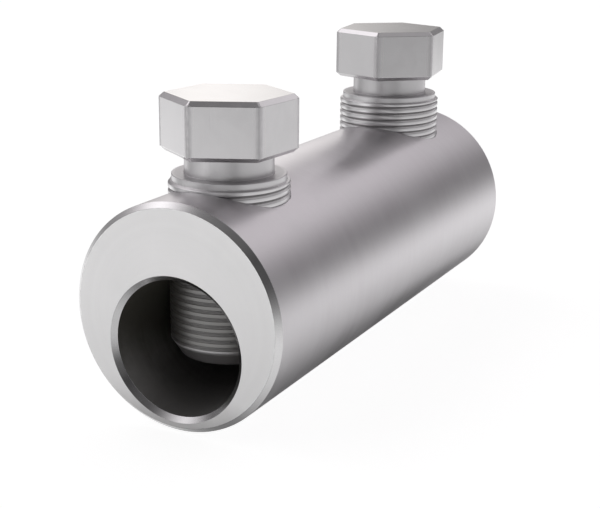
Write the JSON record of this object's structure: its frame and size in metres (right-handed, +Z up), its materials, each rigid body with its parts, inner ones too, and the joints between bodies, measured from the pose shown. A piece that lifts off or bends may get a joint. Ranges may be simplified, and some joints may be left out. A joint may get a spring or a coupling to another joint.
{
  "type": "shear bolt connector",
  "caption": "Turned aluminium barrel with an off-centre conductor bore in each end and shear bolts with hexagon heads screwed in across the bores.",
  "frame": {"origin": "centre of the front conductor bore at the front end face", "axes": "+X along the bore into the barrel and on to the rear end face, +Y across it, +Z up out of the bolt heads"},
  "size_m": [0.08, 0.03, 0.0451],
  "materials": {
    "barrel_aluminium": "satin, fine turned and blasted",
    "bolt_aluminium": "satin, machined"
  },
  "bodies": {
    "barrel": {"connector_barrel": "barrel_aluminium"},
    "front_bolt": {"front_shear_bolt": "bolt_aluminium"},
    "rear_bolt": {"rear_shear_bolt": "bolt_aluminium"}
  },
  "joints": [
    {"name": "front_bolt_screw", "type": "slide", "parent": "barrel", "child": "front_bolt", "axis": [0, 0, 1], "range_m": [-0.001, 0.019]},
    {"name": "rear_bolt_screw", "type": "slide", "parent": "barrel", "child": "rear_bolt", "axis": [0, 0, 1], "range_m": [-0.005, 0.015]}
  ]
}
